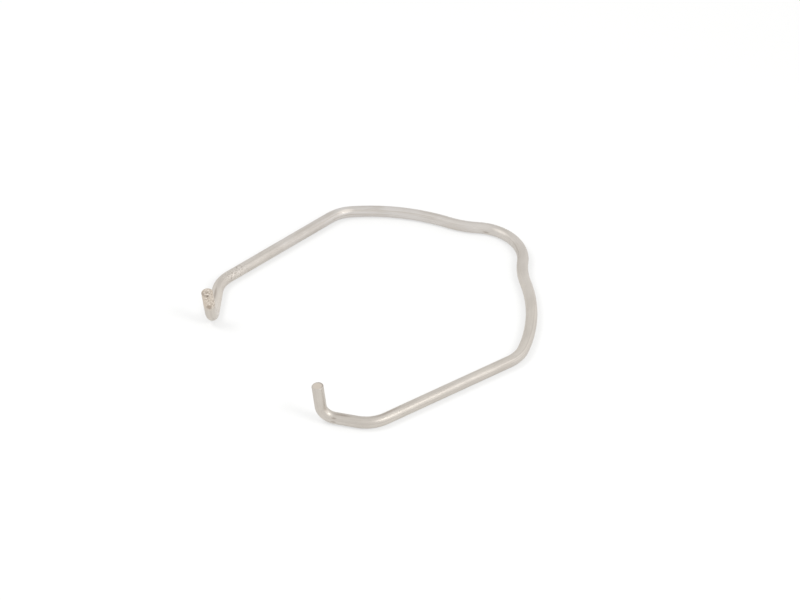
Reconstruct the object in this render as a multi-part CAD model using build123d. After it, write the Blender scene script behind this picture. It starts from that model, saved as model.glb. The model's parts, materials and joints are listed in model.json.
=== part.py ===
from build123d import *
import os

# Spring clip bent from one length of round spring-steel wire, lying flat with both tips turned up.
# From the middle of its pull nose the wire dips, runs round a wide shoulder and a corner into a straight
# gripping side, turns in at a lip and ends in an upright tip. The other half mirrors it, apart from the
# lips and tips, which were formed a little differently, so the whole clip is a C with its mouth between
# the two tips. Units are millimetres and degrees. +X runs along the clip to its nose, +Y to its left side,
# +Z is up, and the origin is under the middle of the clip's box, where it rests.

# Wire stock
wire_diameter = 2.5
tip_edge_break = 0.2

# Bends: the radius on the inside of each bend, and how far the wire turns there
nose_inside_radius = 9.25
nose_half_angle = 45.7
dip_inside_radius = 18.75
dip_angle = 20.1
shoulder_inside_radius = 38.75
shoulder_angle = 31.7
corner_inside_radius = 6.75
corner_angle = 37.2
lip_corner_inside_radius = 6.15
tip_bend_inside_radius = 1.75
tip_rise_angle = 84.8
tip_length = 5.7

# Left side, lip and tip, which leans sideways by a few degrees
left_side_length = 29.6
left_lip_corner_angle = 42.6
left_lip_length = 6.8
left_tip_lean_angle = 4.8

# Right side, lip and tip
right_side_length = 31.3
right_lip_corner_angle = 48.5
right_lip_length = 4.7
right_tip_lean_angle = 2.3

wire_radius = wire_diameter / 2


def bend(previous, inside_radius, angle):
    """Flat bend that carries on from the end of the previous stretch. A positive angle closes the C."""
    return JernArc(previous @ 1, previous % 1, inside_radius + wire_radius, angle)


def straight(previous, length):
    """Straight stretch that carries on from the end of the previous one."""
    return Line(previous @ 1, previous @ 1 + (previous % 1) * length)


def upward_bend(previous, inside_radius, angle, lean):
    """Bend that lifts the wire out of the clip's plane, in a plane that leans about the previous stretch."""
    along = previous % 1
    normal = along.cross(Vector(0, 0, 1)).rotate(Axis((0, 0, 0), along), lean)
    upright = Plane(previous @ 1, x_dir=along, z_dir=normal)
    return upright * JernArc((0, 0), (1, 0), inside_radius + wire_radius, angle)


def half_centreline(side_length, lip_corner_angle, lip_length, tip_lean_angle):
    """Centreline of one half on the left, as its stretches in order from the middle of the nose to the tip."""
    nose = JernArc((0, 0), (0, 1), nose_inside_radius + wire_radius, nose_half_angle)
    dip = bend(nose, dip_inside_radius, -dip_angle)
    shoulder = bend(dip, shoulder_inside_radius, shoulder_angle)
    corner = bend(shoulder, corner_inside_radius, corner_angle)
    side = straight(corner, side_length)
    lip_corner = bend(side, lip_corner_inside_radius, lip_corner_angle)
    lip = straight(lip_corner, lip_length)
    tip_bend = upward_bend(lip, tip_bend_inside_radius, tip_rise_angle, tip_lean_angle)
    tip = straight(tip_bend, tip_length)
    return [nose, dip, shoulder, corner, side, lip_corner, lip, tip_bend, tip]


def centreline():
    """Centreline of the whole clip, from the right tip to the left one."""
    left = half_centreline(left_side_length, left_lip_corner_angle, left_lip_length, left_tip_lean_angle)
    right = half_centreline(right_side_length, right_lip_corner_angle, right_lip_length, right_tip_lean_angle)
    mirrored = [mirror(stretch, about=Plane.XZ) for stretch in reversed(right)]
    return Wire([stretch.edge() for stretch in mirrored + left])


def clip_wire():
    """The formed wire: its round section swept from tip to tip, with the cut edges of the tips broken."""
    path = centreline()
    section = Plane(path @ 0, z_dir=path % 0) * Circle(wire_radius)
    wire = sweep(section, path=path)
    cut_ends = wire.faces().filter_by(GeomType.PLANE)
    return fillet(cut_ends.edges(), tip_edge_break)


def set_down(wire):
    """Moves the clip so that it rests on Z = 0 with its box centred over the origin."""
    box = wire.bounding_box()
    return Pos(-box.center().X, -box.center().Y, -box.min.Z) * wire


os.makedirs("parts", exist_ok=True)
export_step(set_down(clip_wire()), "parts/clip_wire.step")
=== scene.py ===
import json
import math

import bmesh
import bpy
from bpy.props import FloatProperty, FloatVectorProperty, IntProperty, PointerProperty
from mathutils import Matrix, Vector, noise


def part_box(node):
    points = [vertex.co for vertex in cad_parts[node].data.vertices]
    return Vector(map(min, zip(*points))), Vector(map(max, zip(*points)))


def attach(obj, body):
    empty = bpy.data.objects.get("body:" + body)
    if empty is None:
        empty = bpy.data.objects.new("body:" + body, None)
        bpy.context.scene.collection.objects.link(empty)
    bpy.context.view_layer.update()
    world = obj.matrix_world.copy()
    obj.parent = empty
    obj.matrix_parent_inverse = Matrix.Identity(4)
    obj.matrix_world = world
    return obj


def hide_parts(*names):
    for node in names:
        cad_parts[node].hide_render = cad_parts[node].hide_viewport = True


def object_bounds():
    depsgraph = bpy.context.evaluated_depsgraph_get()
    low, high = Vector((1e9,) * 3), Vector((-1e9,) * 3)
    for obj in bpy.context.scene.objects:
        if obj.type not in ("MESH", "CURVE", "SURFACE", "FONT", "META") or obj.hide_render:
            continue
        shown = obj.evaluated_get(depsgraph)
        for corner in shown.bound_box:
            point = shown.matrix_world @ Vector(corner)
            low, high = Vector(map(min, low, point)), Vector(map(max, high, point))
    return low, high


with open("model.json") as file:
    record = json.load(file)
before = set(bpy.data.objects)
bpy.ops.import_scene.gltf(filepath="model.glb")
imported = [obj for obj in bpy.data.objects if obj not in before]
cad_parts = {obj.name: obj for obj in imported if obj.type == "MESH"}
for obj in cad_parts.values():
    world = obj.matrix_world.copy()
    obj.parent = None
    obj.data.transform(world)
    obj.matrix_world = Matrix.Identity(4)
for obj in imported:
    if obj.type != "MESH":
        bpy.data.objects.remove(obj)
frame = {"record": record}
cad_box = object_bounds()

bl_info = {
    "name": "Spring clip",
    "version": (1, 0, 0),
    "blender": (4, 5, 0),
    "location": "3D View > Sidebar > Spring clip",
    "description": "Forms a spring clip from drawn steel wire and sets it down on a white studio floor",
    "category": "Add Mesh",
}

NODE = "clip_wire"
BODY = "root"
MM = 0.001
MERGE_DISTANCE = 0.001 * MM

# Layers of the mesh: where on the wire a vertex lies, and how far onto a cut face.
PLACE_LAYER = "wire_place"
CUT_LAYER = "cut_face"

# What the second layer holds, from the rounded edge of a cut to the middle of its face, and 0 elsewhere.
CUT_EDGE = 0.25
CUT_RIM = 0.5
CUT_FIRST_RING = 0.75
CUT_FACE = 1.0

# A cut end's vertices lie within these multiples of the wire's radius and of the rounding of its edge.
END_REACH = 2.0
EDGE_REACH = 1.5

# A mark is whole up to this share of its size and fades from there.
MARK_CORE = 0.25

# Cosines of the turn away from a side of the wire at which that side starts and is full.
SIDE_START = -0.1
SIDE_FULL = 0.7

# How far either way from the middle of the nose the right half gives way to the left.
NOSE_EASE = 20.0 * MM

# How far the grains of each pattern are drawn out along the wire, and how many finer layers they have.
DIE_STRETCH = 90.0
FINE_STRETCH = 40.0
LINE_DETAIL = 3.0
PATCH_STRETCH = 2.5
PATCH_DETAIL = 4.0
TINT_STRETCH = 2.0
TINT_DETAIL = 1.0
SPECK_STRETCH = 1.0
SPECK_DETAIL = 2.0

# Levels of the noise between which each pattern fades in, and the noise's middle.
LINE_LEVELS = (0.50, 0.68)
PATCH_LEVELS = (0.38, 0.68)
BRIGHT_LEVELS = (0.55, 0.62)
DARK_LEVELS = (0.36, 0.45)
NOISE_MIDDLE = 0.5

# Noise of torn and nicked steel: its fall from layer to layer, how much finer each is, and how many.
TEAR_FALL = 1.0
TEAR_FINER = 2.0
TEAR_LAYERS = 3

# Sockets of a Mix node for colours. Their names repeat, so they go by number.
MIX_AMOUNT = 0
MIX_FIRST = 6
MIX_SECOND = 7
MIX_RESULT = 2

tip_mount = next(mount for mount in frame["record"]["mounts"] if mount["name"] == "tip_left")


def length(name, description, millimetres):
    """A size in metres, shown as a distance."""
    return FloatProperty(
        name=name, description=description, default=millimetres * MM, unit="LENGTH", precision=5
    )


def angle(name, description, degrees):
    """A turn, shown in degrees."""
    return FloatProperty(name=name, description=description, default=math.radians(degrees), subtype="ANGLE")


def count(name, description, value, least):
    """A whole number."""
    return IntProperty(name=name, description=description, default=value, min=least)


def colour(name, description, value):
    """A surface colour."""
    return FloatVectorProperty(name=name, description=description, default=value, subtype="COLOR", size=3)


def share(name, description, value):
    """A plain number from 0 to 1."""
    return FloatProperty(name=name, description=description, default=value, min=0, max=1, subtype="FACTOR")


def power(name, description, value):
    """A lamp's power in watts."""
    return FloatProperty(name=name, description=description, default=value, unit="POWER", precision=4)


def position(name, description, millimetres):
    """A place in the clip's own frame."""
    metres = [value * MM for value in millimetres]
    return FloatVectorProperty(
        name=name, description=description, default=metres, unit="LENGTH", subtype="XYZ", precision=4
    )


class ClipSizes(bpy.types.PropertyGroup):
    """The bends and straights of the wire, from the middle of the nose to each tip."""

    wire_radius: length("Wire radius", "Half the wire's gauge", tip_mount["dims"]["r_mm"])
    nose_inside: length("Nose radius", "Inside radius of the pull nose", 9.25)
    nose_half: angle("Nose half turn", "Turn from the middle of the nose to its end", 45.7)
    dip_inside: length("Dip radius", "Inside radius of the dip beside the nose", 18.75)
    dip_turn: angle("Dip turn", "Turn of the dip, away from the clip's middle", 20.1)
    shoulder_inside: length("Shoulder radius", "Inside radius of the wide shoulder", 38.75)
    shoulder_turn: angle("Shoulder turn", "Turn of the shoulder", 31.7)
    corner_inside: length("Corner radius", "Inside radius of the corner before the side", 6.75)
    corner_turn: angle("Corner turn", "Turn of the corner", 37.2)
    lip_corner_inside: length("Lip corner radius", "Inside radius of the corner after the side", 6.15)
    tip_bend_inside: length("Tip bend radius", "Inside radius of the upward bend", 1.75)
    tip_rise: angle("Tip rise", "Turn of the upward bend", 84.8)
    tip_length: length("Tip length", "Straight upright end", 5.7)
    left_side: length("Left side", "Straight gripping side on the left", 29.6)
    left_lip_turn: angle("Left lip turn", "Turn of the corner into the left lip", 42.6)
    left_lip: length("Left lip", "Straight between the left lip corner and its tip bend", 6.8)
    left_lean: angle("Left lean", "How far the left tip leans sideways", 4.8)
    right_side: length("Right side", "Straight gripping side on the right", 31.3)
    right_lip_turn: angle("Right lip turn", "Turn of the corner into the right lip", 48.5)
    right_lip: length("Right lip", "Straight between the right lip corner and its tip bend", 4.7)
    right_lean: angle("Right lean", "How far the right tip leans sideways", 2.3)
    tip_edge_break: length("Tip edge break", "Rounding of the cut edge", 0.2)
    cut_step: length("Cut step", "Last step of the mesh before a cut end, longer than its rounding", 0.3)
    section_sides: count("Sides", "Facets round the wire", 64, 12)
    turn_step: angle("Turn step", "Largest turn from one ring of the mesh to the next", 1.0)
    straight_step: length("Straight step", "Longest straight from one ring of the mesh to the next", 1.0)
    tip_step: length("Tip step", "The same on the tips, whose surface is worn", 0.12)
    edge_segments: count("Edge segments", "Facets across the rounding of a cut edge", 4, 1)
    cut_rings: count("Cut rings", "Rings of the mesh on a cut face", 8, 1)


class WireWear(bpy.types.PropertyGroup):
    """Wear of the two ends, with painted light on the left lip and partly painted shade on the cut rims.
    Places are measured from the cut end of the half that they are on.
    """

    worn_start: length("Worn start", "Where the wear of the left tip starts to fade", 3.0)
    worn_end: length("Worn end", "Where that wear has faded", 4.9)
    nick_depth: length("Nick depth", "Depth of the nicks on the worn tip", 0.05)
    nick_size: length("Nick size", "Size of those nicks", 0.30)
    nicked_turn: angle("Nicked turn", "Which side of the left tip is nicked", -35.0)
    left_tear: length("Left tear", "How unevenly the left end was sheared", 0.14)
    # The dark rims of the cut faces are partly the mark of the shear and partly painted shade, laid on one
    # side of each face.
    left_rim_turn: angle("Left rim turn", "Which side of the left end the shear left dark", -120.0)
    right_tear: length("Right tear", "How unevenly the right end was sheared", 0.01)
    right_rim_turn: angle("Right rim turn", "Which side of the right end the shear left dark", 45.0)
    front_turn: angle("Front turn", "Where the stain and the rim nick lie round the left tip", -78.0)
    stain_place: length("Stain place", "Middle of the brown stain", 3.3)
    stain_size: length("Stain size", "How far the stain reaches", 0.85)
    rim_nick_size: length("Rim nick size", "How far the dark nick at the left end's rim reaches", 0.40)
    scuff_place: length("Scuff place", "Middle of the scuffs where the left lip meets its side", 23.5)
    scuff_reach: length("Scuff reach", "How far the scuffs go either way", 5.0)
    scuff_turn: angle("Scuff turn", "Which side of the wire is scuffed there", 45.0)
    # Painted light: the left lip is lightened all round.
    painted_lip_light_place: length("Polished place", "Middle of the left lip, which is rubbed brighter", 11.5)
    painted_lip_light_reach: length("Polished reach", "How far it is rubbed brighter either way", 10.0)
    # The right lip is darker over this reach.
    dulled_lip_place: length("Handled place", "Middle of the dulled right lip", 14.5)
    dulled_lip_reach: length("Handled reach", "How far it is dulled either way", 8.0)


class WireMarks(bpy.types.PropertyGroup):
    """Rub marks with painted highlights, nicks left by forming and three lines of painted shade. A turn
    goes round the wire from the clip's inside towards its top.
    """

    # The three rub marks are partly real and partly painted highlights. Their bright colour paints the
    # glints on the nose, the left corner and the right tip bend, and lightens the shaded crease of that
    # bend.
    nose_glint_rub: length("Nose rub", "Bright rub on the left of the nose, from its middle", 2.6)
    nose_rub_turn: angle("Nose rub turn", "Where that rub lies round the wire", 54.0)
    nose_rub_span: length("Nose rub span", "Half the length of that rub", 3.2)
    corner_glint_rub: length("Corner rub", "Bright rub at the left corner, from the middle of the nose", 39.0)
    corner_rub_turn: angle("Corner rub turn", "Where that rub lies round the wire", 57.0)
    corner_rub_span: length("Corner rub span", "Half the length of that rub", 2.8)
    bend_glint_rub: length("Bend rub", "Faint rub in the right tip bend, from the cut end", 7.2)
    bend_rub_turn: angle("Bend rub turn", "Where that rub lies round the wire", 114.0)
    bend_rub_span: length("Bend rub span", "Half the length of that rub", 3.6)
    rub_width: length("Rub width", "Half the width of a rub", 0.55)
    pin_nick: length("Pin nick", "Nick of the bending pin in the left dip, from the nose's middle", 6.4)
    pin_nick_turn: angle("Pin nick turn", "Where that nick lies round the wire", -2.0)
    pin_nick_span: length("Pin nick span", "Half the length of that nick", 1.1)
    jaw_nick: length("Jaw nick", "Two nicks of the bending jaws on the right lip, from the cut end", 10.1)
    jaw_nick_turn: angle("Jaw nick turn", "Where the upper of the two lies round the wire", 142.0)
    jaw_nick_gap: angle("Jaw nick gap", "From the upper nick round to the lower", 40.0)
    jaw_nick_span: length("Jaw nick span", "Half the length of each", 0.85)
    nick_width: length("Nick width", "Half the width of a nick", 0.32)
    nick_depth: length("Nick depth", "Depth of a nick", 0.06)
    # Lines of painted shade: darker along the top of the right lip beside its tip bend, along the top of
    # the start of the right side, and along the top of the left lip where the left tip stands in front of
    # it.
    right_shade_line: length("Right line", "Dark line along the top of the right lip, from the cut end", 11.7)
    right_line_turn: angle("Right line turn", "Where that line lies round the wire", 96.0)
    right_line_span: length("Right line span", "Half the length of that line", 2.6)
    side_shade_line: length("Side line", "Dark line at the start of the right side, from the cut end", 21.5)
    side_line_turn: angle("Side line turn", "Where that line lies round the wire", 80.0)
    side_line_span: length("Side line span", "Half the length of that line", 5.0)
    left_shade_line: length("Left line", "Dark line along the top of the left lip, from the cut end", 14.6)
    left_line_turn: angle("Left line turn", "Where that line lies round the wire", 98.0)
    left_line_span: length("Left line span", "Half the length of that line", 3.0)
    line_width: length("Line width", "Half the width of a dark line", 0.40)


class SteelFinish(bpy.types.PropertyGroup):
    """The look of the drawn steel wire."""

    steel: colour("Steel", "Clean drawn steel, from the nose to the left corner", (0.650, 0.622, 0.598))
    warm_steel: colour("Warm steel", "The same, a little warmer, towards the ends", (0.625, 0.584, 0.532))
    cool_place: length("Cool place", "Middle of the cooler steel, from the middle of the nose", 31.0)
    cool_reach: length("Cool reach", "How far it is cooler either way", 55.0)
    # Dull steel of the patches and lines, also used for the darker right lip.
    dull_steel: colour("Dull steel", "Handled, slightly oxidised steel", (0.540, 0.500, 0.455))
    worn_steel: colour("Worn steel", "Warm, worn steel of the left tip", (0.635, 0.562, 0.482))
    # This colour also paints highlights: the glints of the rub marks, of the specks and scuffs, and the
    # light on the left lip.
    bright_steel_and_highlight: colour("Bright steel", "Bright metal in specks, scuffs and rubs", (0.88, 0.82, 0.75))
    cut_steel: colour("Cut steel", "Sheared face of an end", (0.665, 0.605, 0.535))
    # This colour also paints shade: the three lines of painted shade and the painted part of the cut rims.
    dark_steel_and_shade: colour("Dark steel", "Pits, lines, nicks and the rim of a cut face", (0.30, 0.25, 0.21))
    stain: colour("Stain", "Brown stain on the left tip", (0.33, 0.26, 0.20))
    roughness: share("Roughness", "Satin of the drawn surface", 0.44)
    line_roughness: share("Line roughness", "How much the fine lines change the roughness", 0.10)
    face_roughness: share("Face roughness", "How much rougher a sheared face is", 0.12)
    worn_roughness: share("Worn roughness", "How much rougher the worn tip is", 0.08)
    rub_smoothness: share("Rub smoothness", "How much smoother a rub is", 0.18)
    mottle: share("Mottle", "How much the dull patches show", 0.55)
    lines: share("Lines", "How much the die lines show", 0.85)
    lip_lines: share("Lip lines", "How much more they show on the right lip", 0.70)
    dulled_lip: share("Handled", "How much duller the right lip is", 0.35)
    # How much painted light lightens the left lip.
    painted_lip_light: share("Polished", "How much brighter the left lip is", 0.24)
    # Strength of the painted highlights of the three rub marks.
    nose_shine: share("Nose shine", "How bright the rub on the nose is", 0.45)
    corner_shine: share("Corner shine", "How bright the rub at the left corner is", 0.72)
    bend_shine: share("Bend shine", "How bright the rub in the right tip bend is", 0.22)
    # How dark the painted shade of the three lines is.
    painted_shade: share("Grime", "How much the dark lines of the lips and the right side show", 0.52)
    # Painted glints: the bright specks stand in for facets of the worn tip catching the light, and brighten
    # the real scuffs of the left lip.
    sparkle: share("Sparkle", "How much the specks of the worn tip shine", 0.90)
    scuff: share("Scuff", "How much the scuffs of the left lip shine", 0.40)
    pitting: share("Pitting", "How much the pits of the worn steel show", 0.55)
    # The dark rim is partly painted shade.
    rim: share("Rim", "How much the dark rim of a sheared face shows", 0.65)
    staining: share("Staining", "How much the brown stain shows", 0.65)
    nick_shade: share("Nick shade", "How dark the nicks of the bending tools are", 0.55)
    worn_face: share("Worn face", "How much of the worn tip's colour its sheared face keeps", 0.50)
    die_line: length("Die line", "Width of the lines that the drawing die left", 0.26)
    fine_line: length("Fine line", "Width of the finest of those lines", 0.12)
    line_height: length("Line height", "Height of the die lines", 0.008)
    fine_height: share("Fine height", "Height of the finest lines, as a share of the die lines'", 0.50)
    patch: length("Patch", "Size of the dull patches", 2.2)
    tint: length("Tint", "Size of the patches in which the steel is cooler or warmer", 5.0)
    tinting: FloatProperty(name="Tinting", description="How much those patches show", default=1.2, min=0)
    speck: length("Speck", "Size of the specks on worn and sheared steel", 0.34)


class StudioSet(bpy.types.PropertyGroup):
    """The floor, the room, the lamps and the camera."""

    floor: colour("Floor", "Matt floor, before it is lifted to white", (0.27, 0.27, 0.267))
    floor_lift: share("Floor lift", "How much the floor is lifted to white where it is seen", 0.58)
    floor_reach: length("Floor reach", "From the middle of the floor to each of its sides", 3000.0)
    room: share("Room", "Brightness of the room in front of the clip and over it", 1.00)
    room_back: share("Room back", "Brightness of the room low behind the clip", 0.82)
    back_spread: angle("Back spread", "How far from straight behind the dimmer room reaches", 31.0)
    room_right: share("Room right", "How much brighter the room is on the right", 0.20)
    right_spread: angle("Right spread", "How far from straight right the brighter room reaches", 70.0)
    key_size: length("Key size", "Side of the soft boxes, which show only in the shadow", 250.0)
    right_key: power("Right key", "Soft box on the right", 2.2)
    right_key_place: position("Right key place", "Where that box hangs", (145.0, -530.0, 543.0))
    left_key: power("Left key", "Soft box on the left", 2.0)
    left_key_place: position("Left key place", "Where that box hangs", (-290.0, 245.0, 593.0))
    glint_size: length("Glint size", "Side of the small near lamps that draw the highlights", 60.0)
    right_glint: power("Right glint", "Lamp that draws the streak on the right side", 0.021)
    right_glint_place: position("Right glint place", "Where that lamp hangs", (8.2, -110.5, 97.0))
    left_glint: power("Left glint", "Lamp that lights the nose", 0.013)
    left_glint_place: position("Left glint place", "Where that lamp hangs", (-127.0, 81.5, 224.5))
    azimuth: angle("Azimuth", "Where the camera stands round the clip", -38.70)
    elevation: angle("Elevation", "How far the camera looks down", 40.471)
    distance: length("Distance", "From the camera to what it looks at", 690.34)
    aim_back: length("Aim back", "How far behind the nose the camera looks", 31.189)
    aim_left: length("Aim left", "How far left of the middle the camera looks", 0.325)
    lens: FloatProperty(name="Lens", description="Focal length in mm on a 36 mm sensor", default=144.0)


class Shade:
    """One output of a shader node. Arithmetic on it adds the Math nodes that work the value out."""

    def __init__(self, tree, socket):
        self.tree = tree
        self.socket = socket

    @staticmethod
    def node(tree, kind, settings, inputs, output=0):
        """Adds a node, sets it up, fills or links its inputs and gives one of its outputs, if any."""
        node = tree.nodes.new(kind)
        for name, value in settings.items():
            setattr(node, name, value)
        for name, value in inputs.items():
            if isinstance(value, Shade):
                tree.links.new(value.socket, node.inputs[name])
            else:
                node.inputs[name].default_value = value
        return Shade(tree, node.outputs[output]) if node.outputs else None

    def math(self, operation, first, second):
        """Adds a Math node."""
        return Shade.node(self.tree, "ShaderNodeMath", {"operation": operation}, {0: first, 1: second})

    def __add__(self, other):
        return self.math("ADD", self, other)

    def __radd__(self, other):
        return self.math("ADD", other, self)

    def __sub__(self, other):
        return self.math("SUBTRACT", self, other)

    def __rsub__(self, other):
        return self.math("SUBTRACT", other, self)

    def __mul__(self, other):
        return self.math("MULTIPLY", self, other)

    def __rmul__(self, other):
        return self.math("MULTIPLY", other, self)

    def ease(self, low, high):
        """Rises smoothly from 0 at low to 1 at high."""
        inputs = {"Value": self, "From Min": low, "From Max": high}
        return Shade.node(self.tree, "ShaderNodeMapRange", {"interpolation_type": "SMOOTHSTEP"}, inputs)

    def near(self, middle, reach):
        """1 at middle, easing to 0 at reach on either side of it."""
        away = self.math("ABSOLUTE", self - middle, 0.0)
        return 1 - away.ease(0.0, reach)


def vector_math(tree, operation, first, second, output="Vector"):
    """Adds a Vector Math node."""
    inputs = {0: first, 1: second}
    return Shade.node(tree, "ShaderNodeVectorMath", {"operation": operation}, inputs, output=output)


def blend_colours(tree, amount, first, second):
    """The first colour where amount is 0 and the second where it is 1."""
    inputs = {MIX_AMOUNT: amount, MIX_FIRST: first, MIX_SECOND: second}
    return Shade.node(tree, "ShaderNodeMix", {"data_type": "RGBA"}, inputs, output=MIX_RESULT)


def grain(tree, place, size, stretch, detail):
    """Noise with grains of a given size in metres, drawn out along the wire by stretch."""
    squeezed = vector_math(tree, "MULTIPLY", place, (1.0, 1.0, 1.0 / stretch))
    inputs = {"Vector": squeezed, "Scale": 1.0 / size, "Detail": detail}
    return Shade.node(tree, "ShaderNodeTexNoise", {}, inputs)


def opaque(rgb):
    """A colour with full alpha."""
    return (*rgb, 1.0)


def new_material(name):
    """A material with an empty node tree."""
    material = bpy.data.materials.new(name)
    material.use_nodes = True
    material.node_tree.nodes.clear()
    return material


def wire_point(radius, turn, along):
    """A place on the wire's surface: its section and the length along it."""
    return Vector((radius * math.cos(turn), radius * math.sin(turn), along))


def wire_side(radius, turn):
    """Points to one side of the wire. Its dot product with a place on that side is 1."""
    return wire_point(1 / radius, turn, 0.0)


def mark(tree, place, middle, width, span):
    """1 in the middle of a mark, easing to 0 at its width round the wire and its span along it."""
    offset = vector_math(tree, "SUBTRACT", place, middle)
    scaled = vector_math(tree, "MULTIPLY", offset, (1 / width, 1 / width, 1 / span))
    away = Shade.node(tree, "ShaderNodeVectorMath", {"operation": "LENGTH"}, {0: scaled}, output="Value")
    return 1 - away.ease(MARK_CORE, 1.0)


def facing(tree, place, radius, turn):
    """1 on the side of the wire at a turn round it, easing to 0 beside it."""
    cosine = vector_math(tree, "DOT_PRODUCT", place, wire_side(radius, turn), output="Value")
    return cosine.ease(SIDE_START, SIDE_FULL)


def nick_places(marks, radius, right_length):
    """Where the bending pin and the two jaws nicked the wire, and the half-length of each nick."""
    jaw_along = marks.jaw_nick - right_length
    return [
        (wire_point(radius, marks.pin_nick_turn, marks.pin_nick), marks.pin_nick_span),
        (wire_point(radius, marks.jaw_nick_turn, jaw_along), marks.jaw_nick_span),
        (wire_point(radius, marks.jaw_nick_turn + marks.jaw_nick_gap, jaw_along), marks.jaw_nick_span),
    ]


def drawn_steel(finish, wear, marks, radius, left_length, right_length):
    """Satin drawn wire: die lines, dull patches, rub marks, nicks, painted highlights and shade, a worn
    left tip and sheared ends.
    """
    material = new_material("drawn_steel")
    tree = material.node_tree
    place = Shade.node(tree, "ShaderNodeAttribute", {"attribute_name": PLACE_LAYER}, {}, output="Vector")
    cut = Shade.node(tree, "ShaderNodeAttribute", {"attribute_name": CUT_LAYER}, {}, output="Fac")
    along = Shade.node(tree, "ShaderNodeSeparateXYZ", {}, {0: place}, output="Z")
    from_left = left_length - along
    from_right = along + right_length
    on_left = along.ease(-NOSE_EASE, NOSE_EASE)

    # Patterns that run over the whole wire.
    die_lines = grain(tree, place, finish.die_line, DIE_STRETCH, LINE_DETAIL)
    fine_lines = grain(tree, place, finish.fine_line, FINE_STRETCH, LINE_DETAIL)
    patches = grain(tree, place, finish.patch, PATCH_STRETCH, PATCH_DETAIL).ease(*PATCH_LEVELS)
    tint = grain(tree, place, finish.tint, TINT_STRETCH, TINT_DETAIL)
    specks = grain(tree, place, finish.speck, SPECK_STRETCH, SPECK_DETAIL)
    bright_specks = specks.ease(*BRIGHT_LEVELS)
    dark_specks = 1 - specks.ease(*DARK_LEVELS)
    drawn_lines = die_lines.ease(*LINE_LEVELS)

    # Where the wire is worn, lightened with painted light, dulled, sheared and stained.
    worn = 1 - from_left.ease(wear.worn_start, wear.worn_end)
    scuffed_side = facing(tree, place, radius, wear.scuff_turn)
    scuffed = from_left.near(wear.scuff_place, wear.scuff_reach) * scuffed_side
    # Painted light that lightens the left lip.
    painted_lip_light = from_left.near(wear.painted_lip_light_place, wear.painted_lip_light_reach)
    dulled_lip = from_right.near(wear.dulled_lip_place, wear.dulled_lip_reach)
    face = cut.ease(CUT_RIM, CUT_FACE)
    speckled = worn * (face + facing(tree, place, radius, wear.nicked_turn))
    left_rim = facing(tree, place, radius, wear.left_rim_turn) * on_left
    right_rim = facing(tree, place, radius, wear.right_rim_turn) * (1 - on_left)
    # Dark rim on one side of each cut face: partly the mark of the shear, partly painted shade.
    rim = cut.near(CUT_RIM, CUT_FACE - CUT_RIM) * (left_rim + right_rim)

    def band(turn, middle, width, span):
        """A mark at a turn round the wire and a length along it."""
        return mark(tree, place, wire_point(radius, turn, middle), width, span)

    stain = band(wear.front_turn, left_length - wear.stain_place, wear.stain_size, wear.stain_size)
    rim_nick = band(wear.front_turn, left_length, wear.rim_nick_size, wear.rim_nick_size)

    # Rub marks with painted highlights, nicks left by forming, and lines of painted shade.
    nose_glint_rub = band(marks.nose_rub_turn, marks.nose_glint_rub, marks.rub_width, marks.nose_rub_span)
    corner_glint_rub = band(marks.corner_rub_turn, marks.corner_glint_rub, marks.rub_width, marks.corner_rub_span)
    bend_glint_rub = band(
        marks.bend_rub_turn, marks.bend_glint_rub - right_length, marks.rub_width, marks.bend_rub_span
    )
    right_shade_line = band(
        marks.right_line_turn, marks.right_shade_line - right_length, marks.line_width, marks.right_line_span
    )
    side_shade_line = band(
        marks.side_line_turn, marks.side_shade_line - right_length, marks.line_width, marks.side_line_span
    )
    left_shade_line = band(
        marks.left_line_turn, left_length - marks.left_shade_line, marks.line_width, marks.left_line_span
    )
    # Painted highlights: the bright colour of the rub marks stands in for glints, and for light in the
    # shaded crease of the right tip bend.
    glint_rubs = nose_glint_rub * finish.nose_shine + corner_glint_rub * finish.corner_shine + bend_glint_rub * finish.bend_shine
    pin_nick, upper_nick, lower_nick = [
        mark(tree, place, middle, marks.nick_width, span)
        for middle, span in nick_places(marks, radius, right_length)
    ]

    # Colour, from the clean steel to the darkest marks.
    cool = along.near(finish.cool_place, finish.cool_reach) + (tint - NOISE_MIDDLE) * finish.tinting
    clean = blend_colours(tree, cool, opaque(finish.warm_steel), opaque(finish.steel))
    lip_dulling = dulled_lip * (drawn_lines * finish.lip_lines + finish.dulled_lip)
    dull = patches * finish.mottle + drawn_lines * finish.lines + lip_dulling
    body = blend_colours(tree, dull, clean, opaque(finish.dull_steel))
    tip = blend_colours(tree, worn, body, opaque(finish.worn_steel))
    faced = blend_colours(tree, face - worn * finish.worn_face, tip, opaque(finish.cut_steel))
    # Painted glints on the specks of the worn tip, and on the scuffs of the left lip, which are real wear.
    sparkle = (speckled * finish.sparkle + scuffed * finish.scuff) * bright_specks
    # Painted highlights and painted light, blended in with the bright colour.
    bright = sparkle + glint_rubs + painted_lip_light * finish.painted_lip_light
    brightened = blend_colours(tree, bright, faced, opaque(finish.bright_steel_and_highlight))
    stained = blend_colours(tree, stain * finish.staining, brightened, opaque(finish.stain))
    pits = (speckled + scuffed) * dark_specks * finish.pitting
    # Painted shade along the lips and the start of the right side.
    shade_lines = (right_shade_line + side_shade_line + left_shade_line) * finish.painted_shade
    nicks = (pin_nick + upper_nick + lower_nick) * finish.nick_shade
    dark = pits + rim * finish.rim + rim_nick + shade_lines + nicks
    base = blend_colours(tree, dark, stained, opaque(finish.dark_steel_and_shade))

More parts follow.
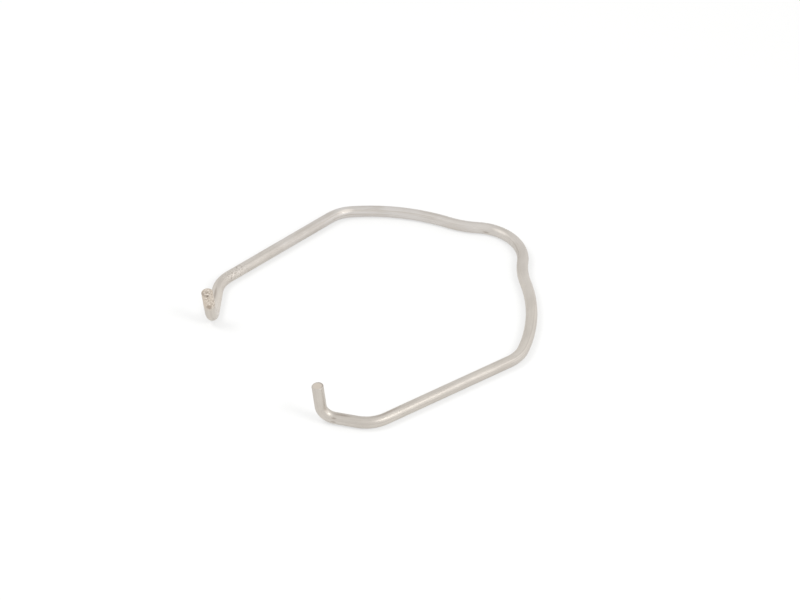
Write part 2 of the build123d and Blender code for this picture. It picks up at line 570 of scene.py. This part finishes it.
    # Roughness and relief.
    lined = finish.roughness + (fine_lines - NOISE_MIDDLE) * finish.line_roughness
    roughened = lined + face * finish.face_roughness + worn * finish.worn_roughness
    rough = roughened - glint_rubs * finish.rub_smoothness
    height = die_lines + fine_lines * finish.fine_height + (speckled + face) * specks
    normal = Shade.node(tree, "ShaderNodeBump", {}, {"Distance": finish.line_height, "Height": height})
    inputs = {"Base Color": base, "Metallic": 1.0, "Roughness": rough, "Normal": normal}
    surface = Shade.node(tree, "ShaderNodeBsdfPrincipled", {}, inputs)
    Shade.node(tree, "ShaderNodeOutputMaterial", {}, {"Surface": surface})
    return material


def white_floor(studio):
    """Matt floor that keeps shadows, lifted to full white where the camera or a reflection sees it."""
    material = new_material("white_floor")
    tree = material.node_tree
    camera_ray, glossy_ray, transmission_ray = [
        Shade.node(tree, "ShaderNodeLightPath", {}, {}, output=ray)
        for ray in ("Is Camera Ray", "Is Glossy Ray", "Is Transmission Ray")
    ]
    seen = camera_ray + glossy_ray + transmission_ray
    matt = Shade.node(tree, "ShaderNodeBsdfDiffuse", {}, {"Color": opaque(studio.floor)})
    glow = Shade.node(tree, "ShaderNodeEmission", {}, {"Strength": studio.floor_lift})
    lifted = Shade.node(tree, "ShaderNodeAddShader", {}, {0: matt, 1: glow})
    surface = Shade.node(tree, "ShaderNodeMixShader", {}, {0: seen, 1: matt, 2: lifted})
    Shade.node(tree, "ShaderNodeOutputMaterial", {}, {"Surface": surface})
    return material


class Wire:
    """A wire that is drawn on ring by ring. Its end has Z along the wire, Y up and X into the clip."""

    def __init__(self, bm, start, radius, sides):
        self.bm = bm
        self.end = start
        self.length = 0.0
        self.place = bm.verts.layers.float_vector[PLACE_LAYER]
        made = bmesh.ops.create_circle(bm, cap_ends=False, radius=radius, segments=sides)
        self.ring = list(dict.fromkeys(edge for vert in made["verts"] for edge in vert.link_edges))
        for vert in made["verts"]:
            vert[self.place] = vert.co
        bmesh.ops.transform(bm, matrix=start, verts=made["verts"])

    def draw(self, step, steps, step_length):
        """Draws the wire on by a number of equal steps, each a move in the end's own frame."""
        for _ in range(steps):
            made = bmesh.ops.extrude_edge_only(self.bm, edges=self.ring)["geom"]
            verts = [item for item in made if isinstance(item, bmesh.types.BMVert)]
            edges = [item for item in made if isinstance(item, bmesh.types.BMEdge)]
            new = set(verts)
            self.ring = [edge for edge in edges if new.issuperset(edge.verts)]
            bmesh.ops.transform(self.bm, matrix=self.end @ step @ self.end.inverted(), verts=verts)
            self.end = self.end @ step
            self.length += step_length
            for vert in verts:
                vert[self.place].z = self.length

    def lean(self, roll):
        """Rolls the plane of the next bend about the wire."""
        self.end = self.end @ Matrix.Rotation(roll, 4, "Z")

    def straight(self, distance, longest):
        """Draws the wire straight on."""
        steps = math.ceil(distance / longest)
        self.draw(Matrix.Translation((0, 0, distance / steps)), steps, distance / steps)

    def turn(self, radius, turned, largest, axis):
        """Bends the wire about the end's own Y, into the clip, or about its own X, upwards."""
        steps = math.ceil(abs(turned) / largest)
        signed = math.copysign(radius, turned)
        if axis == "Y":
            centre = Matrix.Translation((signed, 0, 0))
            roll = Matrix.Rotation(turned / steps, 4, "Y")
        else:
            centre = Matrix.Translation((0, signed, 0))
            roll = Matrix.Rotation(-turned / steps, 4, "X")
        self.draw(centre @ roll @ centre.inverted(), steps, radius * abs(turned) / steps)


def draw_half(bm, sizes, side, lip_turn, lip, lean):
    """Draws a left half, from the middle of the nose to its cut tip, and gives its length."""
    radius = sizes.wire_radius
    step = sizes.turn_step
    low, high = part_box(NODE)
    nose = Vector((high.x - radius, 0, low.z + radius))
    to_left = Matrix(((-1, 0, 0, 0), (0, 0, 1, 0), (0, 1, 0, 0), (0, 0, 0, 1)))
    wire = Wire(bm, Matrix.Translation(nose) @ to_left, radius, sizes.section_sides)
    wire.turn(sizes.nose_inside + radius, sizes.nose_half, step, "Y")
    wire.turn(sizes.dip_inside + radius, -sizes.dip_turn, step, "Y")
    wire.turn(sizes.shoulder_inside + radius, sizes.shoulder_turn, step, "Y")
    wire.turn(sizes.corner_inside + radius, sizes.corner_turn, step, "Y")
    wire.straight(side, sizes.straight_step)
    wire.turn(sizes.lip_corner_inside + radius, lip_turn, step, "Y")
    wire.straight(lip, sizes.straight_step)
    wire.lean(lean)
    wire.turn(sizes.tip_bend_inside + radius, sizes.tip_rise, step, "X")
    wire.straight(sizes.tip_length - sizes.cut_step, sizes.tip_step)
    wire.straight(sizes.cut_step, sizes.cut_step)
    cut_tip(bm, wire, sizes)
    return wire.length


def cut_tip(bm, wire, sizes):
    """Closes the wire's end with a cut face, rounds its edge and rings it for the torn surface."""
    cut = bm.verts.layers.float[CUT_LAYER]
    face = bmesh.ops.contextual_create(bm, geom=wire.ring)["faces"][0]
    rounded = bmesh.ops.bevel(
        bm, geom=list(face.edges), offset=sizes.tip_edge_break, offset_type="OFFSET",
        segments=sizes.edge_segments, profile=0.5, affect="EDGES", material=-1,
    )
    for vert in rounded["verts"]:
        vert[cut] = CUT_EDGE
    face = max(bm.faces, key=lambda item: len(item.verts))
    for vert in face.verts:
        vert[cut] = CUT_RIM
    inset = (sizes.wire_radius - sizes.tip_edge_break) / (sizes.cut_rings + 1)
    for ring in range(sizes.cut_rings):
        bmesh.ops.inset_individual(bm, faces=[face], thickness=inset)
        for vert in face.verts:
            vert[cut] = CUT_FIRST_RING if ring == 0 else CUT_FACE
    centre = bmesh.ops.poke(bm, faces=[face])["verts"][0]
    centre[cut] = CUT_FACE
    to_end = wire.end.inverted()
    for vert in bm.verts:
        local = to_end @ vert.co
        near_end = local.length < END_REACH * sizes.wire_radius
        if near_end and local.z > -EDGE_REACH * sizes.tip_edge_break:
            vert[wire.place] = (local.x, local.y, wire.length + local.z)


def mirror_right(bm):
    """Turns the half that is there into a right one, with the places along it counted below zero."""
    place = bm.verts.layers.float_vector[PLACE_LAYER]
    bmesh.ops.scale(bm, vec=(1, -1, 1), verts=bm.verts)
    for vert in bm.verts:
        vert[place].z = -vert[place].z


def join_halves(bm):
    """Merges the two halves at the nose and turns all the faces outwards."""
    bmesh.ops.remove_doubles(bm, verts=bm.verts, dist=MERGE_DISTANCE)
    bmesh.ops.recalc_face_normals(bm, faces=bm.faces)


def eased(value, low, high):
    """Rises smoothly from 0 at low to 1 at high."""
    part = max(0.0, min(1.0, (value - low) / (high - low)))
    return part * part * (3 - 2 * part)


def wear_wire(bm, wear, marks, radius, left_length, right_length):
    """Tears the cut faces, nicks the left tip and presses in the nicks of the bending tools."""
    place = bm.verts.layers.float_vector[PLACE_LAYER]
    cut = bm.verts.layers.float[CUT_LAYER]
    nicks = nick_places(marks, radius, right_length)
    nicked_side = wire_side(radius, wear.nicked_turn)
    bm.normal_update()
    pushes = []
    for vert in bm.verts:
        where = vert[place]
        rough = noise.fractal(where / wear.nick_size, TEAR_FALL, TEAR_FINER, TEAR_LAYERS)
        tear = wear.left_tear if where.z > 0 else wear.right_tear
        push = tear * eased(vert[cut], CUT_RIM, CUT_FACE) * (1 + rough) / 2
        worn = 1 - eased(left_length - where.z, wear.worn_start, wear.worn_end)
        nicked = worn * eased(where.dot(nicked_side), SIDE_START, SIDE_FULL)
        push += wear.nick_depth * nicked * (1 - vert[cut]) * max(0.0, rough)
        for middle, span in nicks:
            offset = where - middle
            away = Vector((offset.x / marks.nick_width, offset.y / marks.nick_width, offset.z / span))
            push += marks.nick_depth * (1 - eased(away.length, MARK_CORE, 1.0))
        pushes.append(vert.normal * push)
    for vert, push in zip(bm.verts, pushes):
        vert.co -= push


class SPRINGCLIP_OT_form_wire(bpy.types.Operator):
    """Form the clip's steel wire from tip to tip"""

    bl_idname = "spring_clip.form_wire"
    bl_label = "Form wire"

    def execute(self, context):
        sizes = context.scene.spring_clip_sizes
        wear = context.scene.spring_clip_wear
        marks = context.scene.spring_clip_marks
        finish = context.scene.spring_clip_finish
        bm = bmesh.new()
        bm.verts.layers.float_vector.new(PLACE_LAYER)
        bm.verts.layers.float.new(CUT_LAYER)
        right_length = draw_half(
            bm, sizes, sizes.right_side, sizes.right_lip_turn, sizes.right_lip, sizes.right_lean
        )
        mirror_right(bm)
        left_length = draw_half(
            bm, sizes, sizes.left_side, sizes.left_lip_turn, sizes.left_lip, sizes.left_lean
        )
        join_halves(bm)
        wear_wire(bm, wear, marks, sizes.wire_radius, left_length, right_length)
        mesh = bpy.data.meshes.new("formed_wire")
        bm.to_mesh(mesh)
        bm.free()
        mesh.shade_smooth()
        steel = drawn_steel(finish, wear, marks, sizes.wire_radius, left_length, right_length)
        mesh.materials.append(steel)
        piece = bpy.data.objects.new("formed_wire", mesh)
        context.scene.collection.objects.link(piece)
        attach(piece, BODY)
        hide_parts(NODE)
        return {"FINISHED"}


def aim(thing, place, target):
    """Puts a lamp or the camera at a place, looking at a target."""
    thing.location = place
    thing.rotation_mode = "QUATERNION"
    thing.rotation_quaternion = (target - place).to_track_quat("-Z", "Y")


def hang_lamp(scene, name, watts, size, place):
    """A square lamp that the camera doesn't see, aimed at the clip."""
    lamp = bpy.data.lights.new(name, "AREA")
    lamp.size = size
    lamp.energy = watts
    hung = bpy.data.objects.new(name, lamp)
    hung.visible_camera = False
    scene.collection.objects.link(hung)
    aim(hung, Vector(place), (cad_box[0] + cad_box[1]) / 2)
    return hung


def lay_floor(scene, studio):
    """A wide white floor at the clip's own level."""
    bm = bmesh.new()
    bmesh.ops.create_grid(bm, x_segments=1, y_segments=1, size=studio.floor_reach)
    mesh = bpy.data.meshes.new("floor")
    bm.to_mesh(mesh)
    bm.free()
    mesh.materials.append(white_floor(studio))
    floor = bpy.data.objects.new("floor", mesh)
    scene.collection.objects.link(floor)
    floor.location.z = cad_box[0].z


def light_room(scene, studio):
    """A white room, brighter on the camera's right and a little dimmer low behind the clip."""
    scene.world = bpy.data.worlds.new("room")
    scene.world.use_nodes = True
    tree = scene.world.node_tree
    tree.nodes.clear()
    direction = Shade.node(tree, "ShaderNodeTexCoord", {}, {}, output="Generated")

    def towards(side, spread):
        """1 straight towards a side, easing to 0 at a spread from it."""
        cosine = vector_math(tree, "DOT_PRODUCT", direction, side, output="Value")
        return cosine.ease(math.cos(spread), 1.0)

    turn = Matrix.Rotation(studio.azimuth, 3, "Z")
    right = towards(turn @ Vector((1, 0, 0)), studio.right_spread)
    behind = towards(turn @ Vector((0, 1, 0)), studio.back_spread)
    strength = studio.room + right * studio.room_right - behind * (studio.room - studio.room_back)
    white = (1.0, 1.0, 1.0, 1.0)
    background = Shade.node(tree, "ShaderNodeBackground", {}, {"Color": white, "Strength": strength})
    Shade.node(tree, "ShaderNodeOutputWorld", {}, {"Surface": background})


def place_camera(scene, studio):
    """A long lens that looks down on the clip from its open side."""
    nose = cad_box[1].x - scene.spring_clip_sizes.wire_radius
    target = Vector((nose - studio.aim_back, studio.aim_left, cad_box[0].z))
    across = math.cos(studio.elevation)
    back = Vector(
        (math.sin(studio.azimuth) * across, -math.cos(studio.azimuth) * across, math.sin(studio.elevation))
    )
    camera = bpy.data.objects.new("camera", bpy.data.cameras.new("camera"))
    camera.data.lens = studio.lens
    scene.collection.objects.link(camera)
    aim(camera, target + back * studio.distance, target)
    scene.camera = camera


class SPRINGCLIP_OT_set_stage(bpy.types.Operator):
    """Lay the white floor, light the room, hang the lamps and place the camera"""

    bl_idname = "spring_clip.set_stage"
    bl_label = "Set stage"

    def execute(self, context):
        scene = context.scene
        studio = scene.spring_clip_studio
        lay_floor(scene, studio)
        light_room(scene, studio)
        for side in ("right", "left"):
            key_watts = getattr(studio, f"{side}_key")
            key_place = getattr(studio, f"{side}_key_place")
            key = hang_lamp(scene, f"{side}_key", key_watts, studio.key_size, key_place)
            key.visible_glossy = False
            glint_watts = getattr(studio, f"{side}_glint")
            glint_place = getattr(studio, f"{side}_glint_place")
            hang_lamp(scene, f"{side}_glint", glint_watts, studio.glint_size, glint_place)
        place_camera(scene, studio)
        scene.view_settings.view_transform = "Standard"
        return {"FINISHED"}


class SPRINGCLIP_PT_panel(bpy.types.Panel):
    """Sizes, finish and studio of the spring clip, with the operators that make them"""

    bl_idname = "SPRINGCLIP_PT_panel"
    bl_label = "Spring clip"
    bl_space_type = "VIEW_3D"
    bl_region_type = "UI"
    bl_category = "Spring clip"

    def draw(self, context):
        scene = context.scene
        groups = (
            (scene.spring_clip_sizes, None),
            (scene.spring_clip_wear, None),
            (scene.spring_clip_marks, None),
            (scene.spring_clip_finish, SPRINGCLIP_OT_form_wire.bl_idname),
            (scene.spring_clip_studio, SPRINGCLIP_OT_set_stage.bl_idname),
        )
        for group, operator in groups:
            box = self.layout.box()
            for name in group.__annotations__:
                box.prop(group, name)
            if operator:
                box.operator(operator)


CLASSES = (
    ClipSizes,
    WireWear,
    WireMarks,
    SteelFinish,
    StudioSet,
    SPRINGCLIP_OT_form_wire,
    SPRINGCLIP_OT_set_stage,
    SPRINGCLIP_PT_panel,
)


def register():
    for item in CLASSES:
        bpy.utils.register_class(item)
    bpy.types.Scene.spring_clip_sizes = PointerProperty(type=ClipSizes)
    bpy.types.Scene.spring_clip_wear = PointerProperty(type=WireWear)
    bpy.types.Scene.spring_clip_marks = PointerProperty(type=WireMarks)
    bpy.types.Scene.spring_clip_finish = PointerProperty(type=SteelFinish)
    bpy.types.Scene.spring_clip_studio = PointerProperty(type=StudioSet)


def unregister():
    del bpy.types.Scene.spring_clip_studio
    del bpy.types.Scene.spring_clip_finish
    del bpy.types.Scene.spring_clip_marks
    del bpy.types.Scene.spring_clip_wear
    del bpy.types.Scene.spring_clip_sizes
    for item in reversed(CLASSES):
        bpy.utils.unregister_class(item)


def main():
    register()
    bpy.ops.spring_clip.form_wire()
    bpy.ops.spring_clip.set_stage()


if __name__ == "__main__":
    main()
